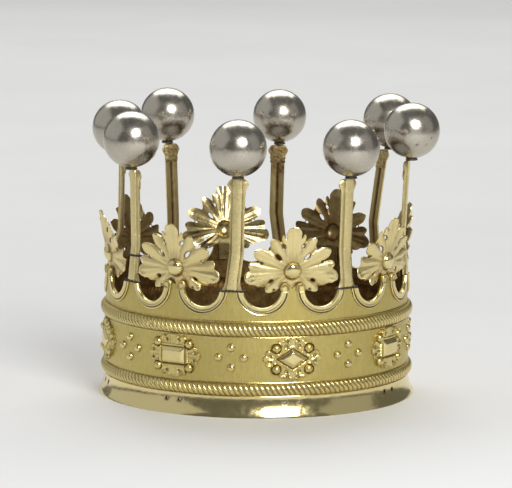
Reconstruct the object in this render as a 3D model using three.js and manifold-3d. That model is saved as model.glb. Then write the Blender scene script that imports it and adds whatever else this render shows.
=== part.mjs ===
// A coronet in silver gilt: a chased circlet with a scalloped crest, eight pierced leaves, and
// eight rays between them that each carry a silver ball. Millimetres, +Z up. The origin is the
// middle of the rim's underside. An azimuth is counted from -Y towards +X, and leaf_1 faces -Y.

import * as THREE from 'three';
import { mergeVertices } from 'three/addons/utils/BufferGeometryUtils.js';
import Module from 'manifold-3d';

const wasm = await Module();
wasm.setup();

// Circlet
const repeats = 8; // leaves, and rays between them
const facetsPerRepeat = 4; // flat sides of the circlet's wall for each leaf
const bandRadius = 91.3;
const wall = 1.2;
const rimFlare = 3.7; // how far the rim's foot stands out past the band
const rimHeight = 12.3;
const rimHollow = 0.25; // share of the flare that is left halfway up the rim
const lowerRopeWidth = 7.5;
const upperRopeWidth = 8;
const ropeRise = 2.4;
const ropeShoulder = 0.27; // share of a rope's width on each side of its flat front
const bandHeight = 27.2;
const crestSetback = 0.7; // the crest's wall is this much inside the band's
const crestBase = 8.9; // from the upper rope to the bottom of a scallop

// Scallops of the crest, and the strap moulding round each
const scallopRadius = 11;
const strapWidth = 4.7;
const strapBandWidth = 3.1; // the broad inner member of the strap, beside a thin fillet
const strapRise = 1.2;
const seatDrop = 2; // a ray's seat is this much under the middle of a scallop
const crestRise = 1.4; // the crest at a leaf is this much over the middle of a scallop
const strapHeadRise = 2.9; // the strap's round head by a leaf
const strapHeadShrink = 0.4; // share of half the strap's width that the head loses by its top

// Jewels under the leaves and pellets under the rays
const jewelWidth = 34.5;
const jewelMargin = 1; // bare band over and under a jewel
const jewelLift = 0.8; // over the middle of the band
const jewelRise = 0.9;
const jewelTopShare = 0.93; // the frame's outline at its front, as a share of that at the wall
const stoneRise = 1.6; // over the jewel's frame
const stoneTopShare = 0.66;
const lozengeWidth = 18;
const lozengeHeight = 11.5;
const tableWidth = 15.5; // the oblong stone
const tableHeight = 9.7;
const cornerSpread = 24.4; // the frame's corner lobes, which carry pearls
const cornerDrop = 17.6;
const pelletRadius = 3;
const pelletRise = 2.2;
const pelletSpread = 15;
const pelletDrop = 11.8;

// Sewing holes in the rim
const sewingHoleRadius = 0.95;
const sewingHoleHeight = 8.5;
const sewingHoleSpacing = 8.6;

// Leaves
const gap = 0.3; // between pieces that are soldered or tied together
const leafThickness = 0.9;
const leafClearance = 2.9; // from a leaf's side lobes to the rays
const leafOutward = 9.6; // degrees that a leaf leans out
const leafCentreRise = 12.2; // the boss over the rays' seats
const bossRadius = 4.9;
const bossRise = 2.7;
const bossTopShare = 0.55; // width of the boss's top as a share of its foot
const bossFootRise = 0.4; // the boss's foot over the leaf's creases
const tabWidth = 8;
const tabDrop = 10; // the tab behind the crest, under the crest's top

// Rays
const rayWidth = 8.6;
const rayThickness = 2.6;
const rayEdge = 0.9; // thickness at the ray's edges
const rayBandWidth = 4.8; // the raised middle
const rayHeight = 65.7;
const rayFootMargin = 0.8; // bare seat on each side of a ray's foot
const rayFootHeight = 6.5;
const rayTopWidth = 12.4;
const rayTopHeight = 7.6;
const rayTopShrink = 0.85; // width of a ray's very top as a share of its ears
const rayMiddles = [0.33, 0.62]; // shares of a ray's height where its bend is followed
const rayOutward = 0.7; // from the wall of the crest to the middle of the ray's top

// Balls and the wires that tie loose rays
const ballRadius = 16.55;
const neckRadius = 3.6;
const neckHeight = 1.6;
const ballOutward = 1.5; // from the wall of the crest to the middle of the ball
const wireRadius = 0.5;
const secondWireRise = 16; // on the ray that is tied twice

// How use has bent each ray: sideways and outwards at the knee, the same at the ball, and longer
const kneeShare = 0.27; // height of the knee on the ray, from the seat to the ball
const bends = [
  { knee: [2.6, 0], ball: [3.6, -0.5], longer: -0.3 },
  { knee: [-1, -0.7], ball: [0.2, 0.2], longer: -1.7 },
  { knee: [-0.3, -2.1], ball: [0.1, 0.6], longer: 2 },
  { knee: [0.7, -1], ball: [-4.4, 4.6], longer: 0.5 },
  { knee: [2.5, -0.4], ball: [1.2, -0.2], longer: -1.3 },
  { knee: [0, 0], ball: [1.6, 1.2], longer: 1 },
  { knee: [-1, -6.5], ball: [-1.3, -7.9], longer: -0.4 },
  { knee: [1, -1.5], ball: [0.6, -0.9], longer: 0.3 },
];
const tiedRays = [8, 1, 2]; // the first of them is tied twice

// Heights and radii that follow
const facets = repeats * facetsPerRepeat;
const pitch = (2 * Math.PI * bandRadius) / repeats; // along the band, from leaf to leaf
const crestRadius = bandRadius - crestSetback;
const bandFoot = rimHeight + lowerRopeWidth;
const bandTop = bandFoot + bandHeight;
const crestFoot = bandTop + upperRopeWidth;
const scallopCentre = crestFoot + crestBase + scallopRadius;
const seatHeight = scallopCentre - seatDrop;
const crestTop = scallopCentre + crestRise;
const jewelHeight = bandHeight - 2 * jewelMargin;
const jewelCentre = (bandFoot + bandTop) / 2 + jewelLift;
const innerFace = (crestRadius - wall) * Math.cos(Math.PI / facets); // nearest to the axis
const insideWall = wall / 2; // how deep what is fused on the wall reaches into it
const seatHalfWidth = pitch / 4 - Math.sqrt(scallopRadius ** 2 - seatDrop ** 2);
const footHalfWidth = seatHalfWidth - rayFootMargin; // of a ray
const rayBack = crestRadius - (wall + rayThickness) / 2; // at the seat

// Materials
const gilt = { color: 0xc9b877, roughness: 0.34, metalness: 1 };
const silver = { color: 0xb9b2a6, roughness: 0.2, metalness: 1 };
const darkWire = { color: 0x3a3530, roughness: 0.55, metalness: 0.8 };

const coronet = new THREE.Group();

function addPiece(name, geometry, finish) {
  const mesh = new THREE.Mesh(geometry, new THREE.MeshStandardMaterial(finish));
  mesh.name = name;
  coronet.add(mesh);
}

// Joins the shared corners of a closed shape and turns its faces outwards.
function closedShape(geometry) {
  const bare = new THREE.BufferGeometry();
  bare.setAttribute('position', geometry.getAttribute('position'));
  if (geometry.index) bare.setIndex(geometry.index);
  const merged = mergeVertices(bare, 1e-4);
  const position = merged.getAttribute('position');
  const index = merged.index.array;
  const corners = [new THREE.Vector3(), new THREE.Vector3(), new THREE.Vector3()];
  const faces = [];
  let volume = 0;
  for (let i = 0; i < index.length; i += 3) {
    const [a, b, c] = index.subarray(i, i + 3);
    if (a === b || b === c || c === a) continue;
    corners.forEach((corner, k) => corner.fromBufferAttribute(position, index[i + k]));
    volume += corners[0].dot(corners[1].clone().cross(corners[2]));
    faces.push([a, b, c]);
  }
  merged.setIndex(faces.flatMap(([a, b, c]) => (volume < 0 ? [a, c, b] : [a, b, c])));
  return merged;
}

function toSolid(geometry) {
  const shape = closedShape(geometry);
  const vertProperties = new Float32Array(shape.getAttribute('position').array);
  const triVerts = new Uint32Array(shape.index.array);
  return new wasm.Manifold(new wasm.Mesh({ numProp: 3, vertProperties, triVerts }));
}

function toGeometry(solid) {
  const mesh = solid.getMesh();
  const geometry = new THREE.BufferGeometry();
  geometry.setAttribute('position', new THREE.BufferAttribute(mesh.vertProperties, 3));
  geometry.setIndex(new THREE.BufferAttribute(mesh.triVerts, 1));
  return geometry;
}

// Bends a flat shape round the circlet. Its x becomes the way along the band from an azimuth,
// its y the height, and its z the distance from the circlet's axis.
function wrapped(geometry, azimuth) {
  const position = geometry.getAttribute('position');
  for (let i = 0; i < position.count; i++) {
    const angle = azimuth + position.getX(i) / bandRadius;
    const radius = position.getZ(i);
    const height = position.getY(i);
    position.setXYZ(i, radius * Math.sin(angle), -radius * Math.cos(angle), height);
  }
  return geometry;
}

// A closed body through a row of sections that have the same number of corners. Where the row
// runs back into its first section it has no ends.
function loft(sections, isRing = false) {
  const corners = sections[0].length;
  const index = [];
  const steps = isRing ? sections.length : sections.length - 1;
  for (let i = 0; i < steps; i++) {
    for (let j = 0; j < corners; j++) {
      const a = i * corners + j;
      const b = i * corners + ((j + 1) % corners);
      const c = ((i + 1) % sections.length) * corners + ((j + 1) % corners);
      const d = ((i + 1) % sections.length) * corners + j;
      index.push(a, b, c, a, c, d);
    }
  }
  if (!isRing) {
    const last = (sections.length - 1) * corners;
    for (let j = 1; j < corners - 1; j++) {
      index.push(0, j + 1, j, last, last + j, last + j + 1);
    }
  }
  const geometry = new THREE.BufferGeometry();
  const numbers = sections.flat().flatMap((point) => [point.x, point.y, point.z]);
  geometry.setAttribute('position', new THREE.Float32BufferAttribute(numbers, 3));
  geometry.setIndex(index);
  return geometry;
}

function leafAzimuth(n) {
  return (n * 2 * Math.PI) / repeats;
}

function rayAzimuth(n) {
  return ((n + 0.5) * 2 * Math.PI) / repeats;
}

// The circlet's wall, hollow, with the two ropes pressed out from inside
function makeWall() {
  const point = (radius, height) => new THREE.Vector2(radius, height);
  const ropeFront = (foot, width) => [
    point(bandRadius + ropeRise, foot + width * ropeShoulder),
    point(bandRadius + ropeRise, foot + width * (1 - ropeShoulder)),
  ];
  const ropeBack = (foot, width) => point(bandRadius + ropeRise - wall, foot + width / 2);
  const outside = [
    point(bandRadius + rimFlare, 0),
    point(bandRadius + rimFlare * rimHollow, rimHeight / 2),
    point(bandRadius, rimHeight),
    ...ropeFront(rimHeight, lowerRopeWidth),
    point(bandRadius, bandFoot),
    point(bandRadius, bandTop),
    ...ropeFront(bandTop, upperRopeWidth),
    point(crestRadius, crestFoot),
    point(crestRadius, crestTop),
  ];
  const inside = [
    point(crestRadius - wall, crestTop),
    point(crestRadius - wall, crestFoot),
    ropeBack(bandTop, upperRopeWidth),
    point(bandRadius - wall, bandTop),
    point(bandRadius - wall, bandFoot),
    ropeBack(rimHeight, lowerRopeWidth),
    point(bandRadius - wall, rimHeight),
    point(bandRadius + rimFlare - wall, 0),
  ];
  const profile = [...outside, ...inside, outside[0]];
  return toSolid(new THREE.LatheGeometry(profile, facets).rotateX(Math.PI / 2));
}

// What is cut from the crest at a ray: a scallop on each side, and the level seat between
function makeCrestCut(azimuth) {
  const side = pitch / 4;
  const above = crestTop + 2 * strapHeadRise;
  const seatAngle = Math.asin(seatDrop / scallopRadius);
  const outline = new THREE.Shape();
  outline.moveTo(-side - scallopRadius, above);
  outline.lineTo(-side - scallopRadius, scallopCentre);
  outline.absarc(-side, scallopCentre, scallopRadius, -Math.PI, -seatAngle, false);
  outline.absarc(side, scallopCentre, scallopRadius, -Math.PI + seatAngle, 0, false);
  outline.lineTo(side + scallopRadius, above);
  const depth = scallopRadius;
  const cut = new THREE.ExtrudeGeometry(outline, { depth, bevelEnabled: false, curveSegments: 4 });
  return toSolid(wrapped(cut.translate(0, 0, crestRadius - depth / 2), azimuth));
}

// The strap round one scallop, from the ray's seat to the round head beside the leaf. Side is
// 1 where the leaf is to the right of the scallop and -1 where it is to the left.
function makeStrap(azimuth, side) {
  const steps = 6;
  const start = -Math.asin(seatDrop / scallopRadius) / 2;
  const inner = scallopRadius - gap;
  const outer = scallopRadius + strapWidth;
  const back = crestRadius - insideWall;
  const front = crestRadius + strapRise;
  const section = (from, to, place) => {
    const band = from + (to - from) * ((strapBandWidth + gap) / (strapWidth + gap));
    return [place(from, back), place(from, front), place(band, front), place(to, back)];
  };
  const sections = [];
  for (let i = 0; i <= steps; i++) {
    const angle = start + ((Math.PI - start) * i) / steps;
    const place = (out, depth) =>
      new THREE.Vector3(-side * out * Math.cos(angle), scallopCentre - out * Math.sin(angle), depth);
    sections.push(section(inner, outer, place));
  }
  const shrink = ((outer - inner) / 2) * strapHeadShrink;
  const headTop = scallopCentre + strapHeadRise;
  const placeHead = (out, depth) => new THREE.Vector3(side * out, headTop, depth);
  sections.push(section(inner + shrink, outer - shrink, placeHead));
  return toSolid(wrapped(loft(sections), azimuth));
}

// A flat-topped raised form on the band: its outline at the wall and its smaller one on top
function makeRelief(outline, topShare, foot, top, azimuth) {
  const level = (share, depth) =>
    outline.map(([x, y]) => new THREE.Vector3(x * share, jewelCentre + y * share, depth));
  return toSolid(wrapped(loft([level(1, foot), level(topShare, top)]), azimuth));
}

// A jewel under a leaf: a lobed frame with pointed ends, and a stone, lozenge or oblong
function makeJewel(n) {
  const azimuth = leafAzimuth(n);
  const hasLozenge = n % 2 === 1;
  const quarter = [
    [jewelWidth / 2, 0],
    [cornerSpread / 2, cornerDrop / 5],
    [cornerSpread / 2, cornerDrop / 2],
    [cornerSpread / 5, jewelHeight / 2],
  ];
  const upper = [...quarter, ...quarter.slice().reverse().map(([x, y]) => [-x, y])];
  const frame = [...upper, ...upper.slice(1, -1).reverse().map(([x, y]) => [x, -y])];
  const lozenge = [
    [lozengeWidth / 2, 0],
    [0, lozengeHeight / 2],
    [-lozengeWidth / 2, 0],
    [0, -lozengeHeight / 2],
  ];
  const oblong = [
    [tableWidth / 2, tableHeight / 2],
    [-tableWidth / 2, tableHeight / 2],
    [-tableWidth / 2, -tableHeight / 2],
    [tableWidth / 2, -tableHeight / 2],
  ];
  const wallInside = bandRadius - insideWall;
  const frameTop = bandRadius + jewelRise;
  return [
    makeRelief(frame, jewelTopShare, wallInside, frameTop, azimuth),
    makeRelief(hasLozenge ? lozenge : oblong, stoneTopShare, wallInside, frameTop + stoneRise, azimuth),
  ];
}

// Four pellets in a cross under a ray
function makePellets(n) {
  const azimuth = rayAzimuth(n);
  const places = [
    [pelletSpread / 2, 0],
    [-pelletSpread / 2, 0],
    [0, pelletDrop / 2],
    [0, -pelletDrop / 2],
  ];
  const depth = pelletRise + insideWall;
  return places.map(([x, y]) => {
    const pellet = new THREE.ConeGeometry(pelletRadius, depth, 6).rotateX(Math.PI / 2);
    pellet.translate(x, jewelCentre + y, bandRadius - insideWall + depth / 2);
    return toSolid(wrapped(pellet, azimuth));
  });
}

// Two holes through the rim under a leaf, where the cap is sewn in
function makeSewingHoles(n) {
  return [-1, 1].map((side) => {
    const length = 3 * (rimFlare + wall);
    const hole = new THREE.CylinderGeometry(sewingHoleRadius, sewingHoleRadius, length, 4);
    hole.rotateX(Math.PI / 2).translate((side * sewingHoleSpacing) / 2, sewingHoleHeight, bandRadius);
    return toSolid(wrapped(hole, leafAzimuth(n)));
  });
}

function makeCirclet() {
  let circlet = makeWall();
  for (let n = 0; n < repeats; n++) {
    const side = Math.PI / repeats / 2;
    const straps = [
      makeStrap(leafAzimuth(n) - side, 1),
      makeStrap(leafAzimuth(n) + side, -1),
    ];
    for (const part of [...straps, ...makeJewel(n), ...makePellets(n)]) {
      circlet = circlet.add(part);
    }
    for (const hole of makeSewingHoles(n)) {
      circlet = circlet.subtract(hole);
    }
  }
  for (let n = 0; n < repeats; n++) {
    circlet = circlet.subtract(makeCrestCut(rayAzimuth(n)));
  }
  return toGeometry(circlet);
}

// Half of a leaf from its upright middle lobe round to its foot: degrees from upright, the reach
// as a share of the leaf's half width, and how far the point stands forward of the leaf's sheet.
const leafEdge = [
  { turn: 0, reach: 0.92, forward: 1.6 }, // middle lobe
  { turn: 10.8, reach: 0.78, forward: 0.2 },
  { turn: 17.3, reach: 0.78, forward: 0.6 }, // its small side lobe
  { turn: 21.5, reach: 0.56, forward: -0.3 }, // first slit
  { turn: 26.6, reach: 0.72, forward: 0.2 },
  { turn: 32.7, reach: 0.81, forward: 1.1 }, // upper lobe
  { turn: 45.5, reach: 0.68, forward: 0 },
  { turn: 46.5, reach: 0.4, forward: -0.3 }, // second slit
  { turn: 50.5, reach: 0.68, forward: 0 },
  { turn: 64.2, reach: 0.89, forward: 1.1 }, // shoulder lobe
  { turn: 75.4, reach: 0.66, forward: -0.3 }, // third slit
  { turn: 81.9, reach: 0.92, forward: 0.7 }, // its small lower lobe
  { turn: 88.9, reach: 0.86, forward: 0.2 },
  { turn: 96.6, reach: 1, forward: 0.9 }, // side lobe
  { turn: 107, reach: 0.9, forward: 0.3 },
  { turn: 114.5, reach: 0.74, forward: 0 },
  { turn: 116, reach: 0.48, forward: -0.3 }, // fourth slit
  { turn: 121, reach: 0.67, forward: 0 },
  { turn: 130, reach: 0.7, forward: 0.3 }, // lower lobe
  { turn: 141, reach: 0.51, forward: -0.7 },
];

// A pierced leaf: a folded sheet whose creases run from its boss to its lobes and slits. The
// boss is pressed out of the sheet, hollow behind, and a tab runs down behind the crest.
function makeLeaf(n) {
  const halfWidth = pitch / 2 - rayWidth / 2 - leafClearance;
  const centre = seatHeight + leafCentreRise;
  const tabRadius = innerFace - gap - leafThickness;
  const lean = Math.tan(THREE.MathUtils.degToRad(leafOutward));
  const place = (x, y, forward) => {
    const back = tabRadius + Math.max(0, y - crestTop) * lean + forward;
    return new THREE.Vector3(x, y, back);
  };
  const polar = (turn, distance, forward) =>
    place(distance * Math.sin(turn), centre + distance * Math.cos(turn), forward);
  const half = leafEdge.map(({ turn, reach, forward }) =>
    polar(THREE.MathUtils.degToRad(turn), halfWidth * reach, forward),
  );
  half.push(place(tabWidth / 2, crestTop, 0));
  const mirror = (point) => new THREE.Vector3(-point.x, point.y, point.z);
  const border = [...half, ...half.slice(1).reverse().map(mirror)];
  const sides = 8;
  const bossRing = (distance, forward) =>
    Array.from({ length: sides }, (_, k) => polar((k * 2 * Math.PI) / sides, distance, forward));
  const ring = bossRing(bossRadius, bossFootRise);
  const upperRing = bossRing(bossRadius * bossTopShare, bossFootRise + bossRise);
  const tab = [
    place(tabWidth / 2, crestTop - tabDrop, 0),
    place(-tabWidth / 2, crestTop - tabDrop, 0),
  ];
  const points = [...border, ...ring, ...upperRing, ...tab];
  const ringStart = border.length;
  const upperStart = ringStart + sides;
  const tabStart = upperStart + sides;
  const ringSector = (point) => {
    const turn = Math.atan2(point.x, point.y - centre) + 2 * Math.PI;
    return Math.round((turn * sides) / (2 * Math.PI)) % sides;
  };
  const faces = [];
  border.forEach((point, i) => {
    const next = (i + 1) % border.length;
    let sector = ringSector(point);
    faces.push([ringStart + sector, next, i]);
    while (sector !== ringSector(border[next])) {
      const following = (sector + 1) % sides;
      faces.push([ringStart + sector, ringStart + following, next]);
      sector = following;
    }
  });
  for (let k = 0; k < sides; k++) {
    const next = (k + 1) % sides;
    faces.push([upperStart + k, ringStart + next, ringStart + k]);
    faces.push([upperStart + k, upperStart + next, ringStart + next]);
    if (k > 0 && next > 0) faces.push([upperStart, upperStart + next, upperStart + k]);
  }
  const [rightFoot, leftFoot] = [half.length - 1, half.length];
  faces.push([rightFoot, leftFoot, tabStart + 1], [rightFoot, tabStart + 1, tabStart]);
  const rim = [...border.keys()];
  rim.splice(leftFoot, 0, tabStart, tabStart + 1);
  return toGeometry(toSolid(wrapped(thickened(points, faces, rim), leafAzimuth(n))));
}

// A sheet of the leaves' thickness whose back is the given points and faces
function thickened(points, faces, rim) {
  const count = points.length;
  const numbers = [];
  for (const layer of [0, leafThickness]) {
    for (const { x, y, z } of points) numbers.push(x, y, z + layer);
  }
  const index = [];
  for (const [a, b, c] of faces) {
    index.push(a, b, c, a + count, c + count, b + count);
  }
  rim.forEach((a, i) => {
    const b = rim[(i + 1) % rim.length];
    index.push(a, b, b + count, a, b + count, a + count);
  });
  const sheet = new THREE.BufferGeometry();
  sheet.setAttribute('position', new THREE.Float32BufferAttribute(numbers, 3));
  sheet.setIndex(index);
  return sheet;
}

// How far a ray is bent, sideways and outwards, at a share of the way from its seat to its ball
function bendAt({ knee, ball }, share) {
  const low = THREE.MathUtils.smoothstep(share, 0, kneeShare);
  const high = Math.max(0, share - kneeShare) / (1 - kneeShare);
  return knee.map((offset, k) => offset * low + (ball[k] - offset) * high);
}

function ballCentreHeight(bend) {
  const rayTop = seatHeight + gap + rayHeight + bend.longer;
  return rayTop + gap + neckHeight + Math.sqrt(ballRadius ** 2 - neckRadius ** 2);
}

// Where a ray is at a height: its middle line's place along the band, and its back's distance
// from the axis
function rayPlace(bend, height) {
  const share = (height - seatHeight) / (ballCentreHeight(bend) - seatHeight);
  const [aside, outwards] = bendAt(bend, share);
  return { aside, back: rayBack + rayOutward * share + outwards };
}

// A ray: a strip with a raised middle and bevelled sides, grooved behind, that widens at its
// foot and again into two ears under the ball
function makeRay(n) {
  const bend = bends[n];
  const foot = seatHeight + gap;
  const top = foot + rayHeight + bend.longer;
  const levels = [
    [foot, footHalfWidth],
    [foot + rayFootHeight, rayWidth / 2],
    ...rayMiddles.map((share) => [foot + rayHeight * share, rayWidth / 2]),
    [top - rayTopHeight, rayWidth / 2],
    [top - rayTopHeight / 2, rayTopWidth / 2],
    [top - rayTopHeight / 8, rayTopWidth / 2],
    [top, (rayTopWidth / 2) * rayTopShrink],
  ];
  const sections = levels.map(([height, half]) => {
    const { aside, back } = rayPlace(bend, height);
    const profile = [
      [-half, 0],
      [-half, rayEdge],
      [-rayBandWidth / 2, rayThickness],
      [rayBandWidth / 2, rayThickness],
      [half, rayEdge],
      [half, 0],
    ];
    return profile.map(([x, y]) => new THREE.Vector3(x + aside, height, back + y));
  });
  return closedShape(turned(loft(sections), rayAzimuth(n)));
}

// Turns a shape that was drawn facing -Y, with y as its height and z as its distance from the
// axis, to an azimuth without bending it
function turned(geometry, azimuth) {
  return geometry.rotateX(Math.PI / 2).rotateZ(azimuth);
}

// A ball on its short neck
function makeBall(n) {
  const bend = bends[n];
  const centre = ballCentreHeight(bend);
  const neckAngle = Math.asin(neckRadius / ballRadius);
  const neckFoot = centre - Math.sqrt(ballRadius ** 2 - neckRadius ** 2) - neckHeight;
  const steps = 6;
  const profile = [new THREE.Vector2(0, neckFoot), new THREE.Vector2(neckRadius, neckFoot)];
  for (let i = 0; i <= steps; i++) {
    const angle = neckAngle + ((Math.PI - neckAngle) * i) / steps;
    const out = i === steps ? 0 : ballRadius * Math.sin(angle);
    profile.push(new THREE.Vector2(out, centre - ballRadius * Math.cos(angle)));
  }
  const [aside, outwards] = bendAt(bend, 1);
  const ball = new THREE.LatheGeometry(profile, 12);
  ball.translate(aside, 0, crestRadius + ballOutward + outwards);
  return closedShape(turned(ball, rayAzimuth(n)));
}

// A wire tied round a ray
function makeWire(n, height) {
  const bend = bends[n];
  const isAtFoot = height < seatHeight + rayFootHeight;
  const reach = gap + wireRadius;
  const half = (isAtFoot ? footHalfWidth : rayWidth / 2) + reach;
  const { aside, back } = rayPlace(bend, height);
  const route = [
    [-half, -reach / 2],
    [-half, rayEdge + reach / 2],
    [-rayBandWidth / 2 - reach / 2, rayThickness + reach],
    [rayBandWidth / 2 + reach / 2, rayThickness + reach],
    [half, rayEdge + reach / 2],
    [half, -reach / 2],
    [half - reach, -reach],
    [-half + reach, -reach],
  ];
  const middle = new THREE.Vector2(0, rayThickness / 2);
  const sections = route.map(([x, y]) => {
    const out = new THREE.Vector2(x, y).sub(middle).normalize();
    return [0, 1, 2].map((k) => {
      const angle = (k * 2 * Math.PI) / 3;
      const aim = wireRadius * Math.cos(angle);
      const rise = wireRadius * Math.sin(angle);
      return new THREE.Vector3(x + aside + out.x * aim, height + rise, back + y + out.y * aim);
    });
  });
  return closedShape(turned(loft(sections, true), rayAzimuth(n)));
}

addPiece('circlet', makeCirclet(), gilt);
for (let n = 0; n < repeats; n++) {
  addPiece(`leaf_${n + 1}`, makeLeaf(n), gilt);
  addPiece(`ray_${n + 1}`, makeRay(n), gilt);
  addPiece(`ball_${n + 1}`, makeBall(n), silver);
}
const footWireHeight = seatHeight + gap + wireRadius;
tiedRays.forEach((ray, k) => {
  addPiece(`binding_wire_${k + 1}`, makeWire(ray - 1, footWireHeight), darkWire);
});
const secondWireHeight = seatHeight + secondWireRise;
addPiece(
  `binding_wire_${tiedRays.length + 1}`,
  makeWire(tiedRays[0] - 1, secondWireHeight),
  darkWire,
);

export default coronet;
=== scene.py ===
"""A silver-gilt coronet: chased circlet, pierced leaves, and rays that carry silver balls.

Lengths are in millimetres until a mesh is made, and metres in Blender. An azimuth is counted
from -Y towards +X. On the circlet a place is given by s, the way along the band from an
azimuth, z, the height, and r, the distance from the circlet's axis.
"""

import math

import bpy
import numpy as np
from mathutils import Matrix, Vector
from mathutils.geometry import delaunay_2d_cdt


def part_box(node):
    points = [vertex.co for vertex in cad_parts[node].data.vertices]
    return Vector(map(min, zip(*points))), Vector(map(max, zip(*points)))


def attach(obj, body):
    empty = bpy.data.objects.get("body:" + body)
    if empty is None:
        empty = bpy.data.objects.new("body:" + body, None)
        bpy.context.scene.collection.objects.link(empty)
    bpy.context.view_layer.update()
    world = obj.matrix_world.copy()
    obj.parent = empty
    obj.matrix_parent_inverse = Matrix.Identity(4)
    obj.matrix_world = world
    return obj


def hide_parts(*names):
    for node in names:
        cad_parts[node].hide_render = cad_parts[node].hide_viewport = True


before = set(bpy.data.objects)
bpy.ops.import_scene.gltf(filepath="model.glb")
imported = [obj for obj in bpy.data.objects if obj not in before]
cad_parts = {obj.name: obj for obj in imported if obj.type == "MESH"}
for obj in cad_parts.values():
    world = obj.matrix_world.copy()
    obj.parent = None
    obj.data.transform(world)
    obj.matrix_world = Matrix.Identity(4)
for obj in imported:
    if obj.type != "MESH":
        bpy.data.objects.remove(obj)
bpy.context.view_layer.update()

MM = 0.001
TURN = 2 * math.pi
QUARTERS = [(1, 1), (-1, 1), (-1, -1), (1, -1)]

# Circlet, from the rim up
REPEATS = 8
RIM_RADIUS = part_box("circlet")[1][0] / MM
RIM_FLARE = 3.7  # how far the rim stands out from the band
RIM_TOP = 12.3
RIM_EDGE = 0.5  # the rim stands upright below this height
RIM_ROUNDING = 0.2  # how far its lowest edge is drawn in
BAND_RADIUS = RIM_RADIUS - RIM_FLARE
WALL = 1.2
LOWER_ROPE = (RIM_TOP, 7.5)  # foot and width
BAND_FOOT = sum(LOWER_ROPE)
BAND_HEIGHT = 27.2
UPPER_ROPE = (BAND_FOOT + BAND_HEIGHT, 8.0)
CREST_FOOT = sum(UPPER_ROPE)
CREST_RADIUS = BAND_RADIUS - 0.7
CREST_TOP = 76.3
PITCH = TURN * BAND_RADIUS / REPEATS
RIM_OVERLAP = 0.3  # with the lower rope
OVERLAP = 0.4  # of the band and the crest with the ropes

# How polished its walls are, outside and inside, and how far painted shade darkens them
RIM_POLISH = (1.0, 0.35)
RIM_SHADE = (0.0, 0.75)
BAND_POLISH = (0.12, 0.52)
CREST_POLISH = (0.1, 0.5)
MATT_SHADE = (0.05, 0.9)  # of band and crest
ROPE_INSIDE = (0.3, 0.95)  # polish, and painted shade on the inside

# How fine the circlet's mesh is
RIM_ROWS = 8
RIM_COLUMNS = 49
RIM_SPACING = 1.45
CREST_COLUMNS = 37
CREST_SPACING = 1.5
BAND_COLUMNS = 256
BEAD_COLUMNS = 200
BEAD_STEPS = 5

# Ropes
ROPE_RISE = 2.4
ROPE_ROWS = 9
ROPE_FULLNESS = 0.62  # the less, the squarer its section
STRAND_DEPTH = 0.6
STRAND_BACK = 0.6  # share of the depth that shows behind
STRAND_FULLNESS = 0.85
STRAND_SLANT = math.tan(math.radians(30))
STRAND_STEPS = 6  # columns of the mesh on each strand
STRANDS = {LOWER_ROPE: 184, UPPER_ROPE: 200}

# Beads beside the ropes: distance from the axis, height and size
BEADS = [
    (CREST_RADIUS, CREST_FOOT + 0.9, 0.4),
    (BAND_RADIUS, RIM_TOP - 0.25, 0.35),
    (BAND_RADIUS, BAND_FOOT + 0.3, 0.35),
    (BAND_RADIUS, UPPER_ROPE[0] - 0.3, 0.35),
]
BEAD_SUNK = 0.3

# Scallops of the crest and their straps
SCALLOP_CENTRE = 74.9
SCALLOP_RADIUS = 11.0
SCALLOP_SIDE = PITCH / 4  # from the axis of a leaf or a ray
SEAT = 72.9
STRAP_STEPS = 34
STRAP_RISE = 1.2  # of its end beside the leaf
STRAP_PROFILE = [  # out from the scallop's edge, up from the crest's wall, and painted shade in its grooves
    (0.0, -0.5, 0), (0.0, 0.75, 0), (0.3, 1.12, 0), (1.0, 1.0, 0), (1.9, 0.95, 0),
    (2.6, 1.15, 0), (3.0, 1.1, 0), (3.25, 0.35, 0.9), (3.5, 0.3, 0.9), (3.7, 0.75, 0),
    (4.1, 0.9, 0), (4.5, 0.7, 0), (4.7, 0.1, 0.9), (4.7, -0.5, 0.9),
]
HEAD_SIDE = SCALLOP_SIDE - SCALLOP_RADIUS - 2.3
HEAD_CENTRE = SCALLOP_CENTRE + 0.5
HEAD = {
    "radius": 3.0, "sides": 24, "polish": 0.35,
    "section": [  # share of the radius, height over the crest's wall, and painted shade at its foot and in its coil
        (1.0, -0.5, 0.8), (1.0, 0.8, 0.3), (0.94, 1.25, 0), (0.84, 1.42, 0),
        (0.72, 1.3, 0.35), (0.56, 0.98, 0.6), (0.3, 0.9, 0.3), (0.05, 0.92, 0.3),
    ],
}

# Jewels and pellets, with heights over the band
JEWEL_CENTRE = 34.2
JEWEL_SPACING = 0.5  # of the mesh in front
JEWEL_BACK_SPACING = 5.0  # of the mesh behind, which the band hides
JEWEL_SUNK = 0.4
EDGE_RIDGE = (0.95, 0.38)  # width and height of the ridge along the frame's edge
SCROLL_RIDGE = (0.8, 0.42)  # the same for the scrolls and veins
FRAME_EDGE = 0.35
FRAME_RISE = 0.35  # from its edge to its middle
DOT_RADIUS = 0.68
DOT_POINTS = 8
DOT_DEPTH = 0.45
STONE_FOOT = 1.2
STONE_BEVEL = 1.9
STONE_SLOPE = 0.75
SETTING_WIDTH = 1.9  # of the milled setting round a stone
SETTING_FOOT = 1.15
SETTING_RISE = 0.35
SETTING_GROOVE = 0.55  # between the stone and its setting
MILLING = 1.1  # from tick to tick
MILLING_DEPTH = 0.12
PEARL_FOOT = 0.9
PEARL_RADIUS = 2.4
PEARL_ROUNDNESS = 0.85  # of its height to its radius
PEARL_GROOVE = 2.95  # radius of the groove round a pearl
COLLAR_RADIUS = 3.35
COLLAR_WIDTH = 0.5
COLLAR_RISE = 0.42
PELLETS = [(7.5, 0.5), (-7.5, 0.5), (0.0, 6.3), (0.0, -5.4)]  # from the jewels' height
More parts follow.
